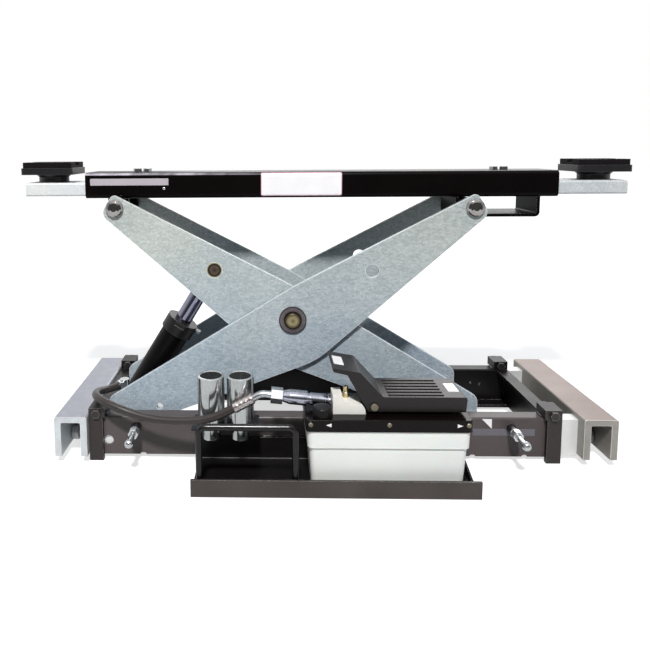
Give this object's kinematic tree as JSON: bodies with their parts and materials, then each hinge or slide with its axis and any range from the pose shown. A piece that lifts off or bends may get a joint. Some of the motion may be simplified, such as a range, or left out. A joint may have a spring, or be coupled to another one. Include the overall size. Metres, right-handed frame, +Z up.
{
  "type": "rolling bridge jack",
  "caption": "Scissor jack on a telescopic rail frame that rolls along a lift's runways, with a sliding beam, swivel pads, a lift cylinder and a foot pump.",
  "frame": {"origin": "under the middle of the whole jack's box, in the plane of the tray's underside and the end plates' feet", "axes": "+X along the beam to the right as seen from the pump side, +Y away from the pump side, +Z up"},
  "size_m": [1.1722, 0.414, 0.5509],
  "materials": {
    "black_gloss": "gloss black paint",
    "black_fitting": "satin black",
    "galvanised": "galvanised spangle",
    "yellow_zinc": "yellow passivated",
    "zinc": "bright zinc plated steel",
    "roller_steel": "turned steel",
    "chrome": "polished",
    "bare_aluminium": "mill finish",
    "slide_steel": "zinc plated",
    "arm_paint": "light grey paint",
    "pad_iron": "black paint",
    "pad_rubber": "moulded rubber",
    "tank_plastic": "natural moulded",
    "lid_plastic": "moulded black",
    "treadle_plastic": "moulded black",
    "cap_plastic": "moulded black",
    "cast_block": "cast",
    "brass": "machined",
    "coupler_metal": "anodised blue",
    "hose_rubber": "smooth rubber"
  },
  "bodies": {
    "base": {"rail_front": "black_gloss", "rail_rear": "black_gloss", "end_plate_left": "black_gloss", "end_plate_right": "black_gloss", "corner_bolts": "zinc", "base_shaft": "zinc", "tray": "black_gloss", "handle_loop": "black_gloss", "adapter_shelf": "black_gloss", "lock_housings": "black_fitting", "reservoir": "tank_plastic", "pump_lid": "lid_plastic", "lid_screws": "zinc", "pump_block": "cast_block", "outlet_valve": "brass", "coupler": "coupler_metal", "hose_elbow": "zinc", "hose_ferrule": "zinc", "hose": "hose_rubber", "swivel_fitting": "zinc", "treadle_bolt": "zinc"},
    "outer_arm": {"outer_arm": "galvanised", "centre_pin": "yellow_zinc", "top_roller_shaft": "zinc"},
    "top_roller": {"top_roller": "roller_steel"},
    "inner_arm": {"inner_arm": "galvanised", "lift_pin_caps": "yellow_zinc", "bottom_roller_shaft": "zinc"},
    "bottom_rollers": {"bottom_rollers": "roller_steel"},
    "cylinder": {"cylinder_barrel": "black_gloss", "cylinder_gland": "black_gloss"},
    "rod": {"piston_rod": "chrome", "rod_eye": "roller_steel", "lift_shaft": "zinc"},
    "beam": {"beam_tube": "black_gloss", "beam_shaft": "zinc", "roller_strap": "black_gloss", "stop_bolts": "zinc"},
    "treadle": {"treadle": "treadle_plastic"},
    "filler_cap": {"filler_cap": "cap_plastic"},
    "adapter_left": {"adapter_left": "chrome"},
    "adapter_right": {"adapter_right": "chrome"},
    "carriage_left": {"channel_left": "bare_aluminium", "slide_tubes_left": "slide_steel", "roller_axles_left": "zinc"},
    "track_roller_left_front": {"track_roller_left_front": "roller_steel"},
    "track_roller_left_rear": {"track_roller_left_rear": "roller_steel"},
    "extension_left": {"extension_arm_left": "arm_paint"},
    "pad_left": {"pad_saddle_left": "pad_iron", "pad_rubber_left": "pad_rubber"},
    "lock_left": {"lock_plunger_left": "zinc"},
    "carriage_right": {"channel_right": "bare_aluminium", "slide_tubes_right": "slide_steel", "roller_axles_right": "zinc"},
    "track_roller_right_front": {"track_roller_right_front": "roller_steel"},
    "track_roller_right_rear": {"track_roller_right_rear": "roller_steel"},
    "extension_right": {"extension_arm_right": "arm_paint"},
    "pad_right": {"pad_saddle_right": "pad_iron", "pad_rubber_right": "pad_rubber"},
    "lock_right": {"lock_plunger_right": "zinc"}
  },
  "joints": [
    {"name": "scissor_lift", "type": "hinge", "parent": "base", "child": "outer_arm", "pos_m": [-0.39533, 0.052, 0.0381], "axis": [0, -1, 0], "range_deg": [-21.32, 0]},
    {"name": "arm_cross", "type": "hinge", "parent": "outer_arm", "child": "inner_arm", "pos_m": [-0.05874, 0.052, 0.25105], "axis": [0, -1, 0], "range_deg": [0, 42.64]},
    {"name": "beam_pivot", "type": "hinge", "parent": "inner_arm", "child": "beam", "pos_m": [-0.39533, 0.052, 0.464], "axis": [0, -1, 0], "range_deg": [-21.32, 0]},
    {"name": "cylinder_pivot", "type": "hinge", "parent": "base", "child": "cylinder", "pos_m": [-0.39533, 0.052, 0.0381], "axis": [0, -1, 0], "range_deg": [-32.08, 0]},
    {"name": "rod_stroke", "type": "slide", "parent": "cylinder", "child": "rod", "axis": [0.5219, 0, 0.853], "range_m": [-0.11617, 0]},
    {"name": "top_roller_spin", "type": "hinge", "parent": "outer_arm", "child": "top_roller", "pos_m": [0.27786, 0.052, 0.464], "axis": [0, 1, 0], "continuous": true},
    {"name": "bottom_roller_spin", "type": "hinge", "parent": "inner_arm", "child": "bottom_rollers", "pos_m": [0.27786, 0.052, 0.0381], "axis": [0, 1, 0], "continuous": true},
    {"name": "extension_slide_left", "type": "slide", "parent": "beam", "child": "extension_left", "axis": [-1, 0, 0], "range_m": [0, 0.19]},
    {"name": "extension_slide_right", "type": "slide", "parent": "beam", "child": "extension_right", "axis": [1, 0, 0], "range_m": [0, 0.19]},
    {"name": "pad_swivel_left", "type": "hinge", "parent": "extension_left", "child": "pad_left", "pos_m": [-0.53563, 0.052, 0.52], "axis": [0, 0, 1], "continuous": true},
    {"name": "pad_swivel_right", "type": "hinge", "parent": "extension_right", "child": "pad_right", "pos_m": [0.53563, 0.052, 0.52], "axis": [0, 0, 1], "continuous": true},
    {"name": "carriage_slide_left", "type": "slide", "parent": "base", "child": "carriage_left", "axis": [-1, 0, 0], "range_m": [0, 0.11]},
    {"name": "carriage_slide_right", "type": "slide", "parent": "base", "child": "carriage_right", "axis": [1, 0, 0], "range_m": [-0.0335, 0.0765]},
    {"name": "track_roller_spin_left_front", "type": "hinge", "parent": "carriage_left", "child": "track_roller_left_front", "pos_m": [-0.47863, -0.038, 0.031], "axis": [1, 0, 0], "continuous": true},
    {"name": "track_roller_spin_left_rear", "type": "hinge", "parent": "carriage_left", "child": "track_roller_left_rear", "pos_m": [-0.47863, 0.142, 0.031], "axis": [1, 0, 0], "continuous": true},
    {"name": "lock_pull_left", "type": "slide", "parent": "base", "child": "lock_left", "axis": [0, -1, 0], "range_m": [0, 0.012], "stiffness_N_per_m": 800},
    {"name": "track_roller_spin_right_front", "type": "hinge", "parent": "carriage_right", "child": "track_roller_right_front", "pos_m": [0.49983, -0.038, 0.031], "axis": [1, 0, 0], "continuous": true},
    {"name": "track_roller_spin_right_rear", "type": "hinge", "parent": "carriage_right", "child": "track_roller_right_rear", "pos_m": [0.49983, 0.142, 0.031], "axis": [1, 0, 0], "continuous": true},
    {"name": "lock_pull_right", "type": "slide", "parent": "base", "child": "lock_right", "axis": [0, -1, 0], "range_m": [0, 0.012], "stiffness_N_per_m": 800},
    {"name": "treadle_rock", "type": "hinge", "parent": "base", "child": "treadle", "pos_m": [0.07185, -0.133, 0.144], "axis": [0, -1, 0], "range_deg": [-1.5, 6], "stiffness_Nm_per_rad": 60},
    {"name": "cap_turn", "type": "hinge", "parent": "base", "child": "filler_cap", "pos_m": [-0.01515, -0.177, 0.138], "axis": [0, 0, 1], "continuous": true},
    {"name": "adapter_lift_left", "type": "slide", "parent": "base", "child": "adapter_left", "axis": [0, 0, 1], "range_m": [0, 0.06]},
    {"name": "adapter_lift_right", "type": "slide", "parent": "base", "child": "adapter_right", "axis": [0, 0, 1], "range_m": [0, 0.06]}
  ],
  "couplings": [
    {"joint": "arm_cross", "follows": "scissor_lift", "ratio": -2},
    {"joint": "beam_pivot", "follows": "scissor_lift", "ratio": 1},
    {"joint": "cylinder_pivot", "follows": "scissor_lift", "ratio": 1.4951},
    {"joint": "rod_stroke", "follows": "scissor_lift", "m_per_rad": 0.31113}
  ]
}
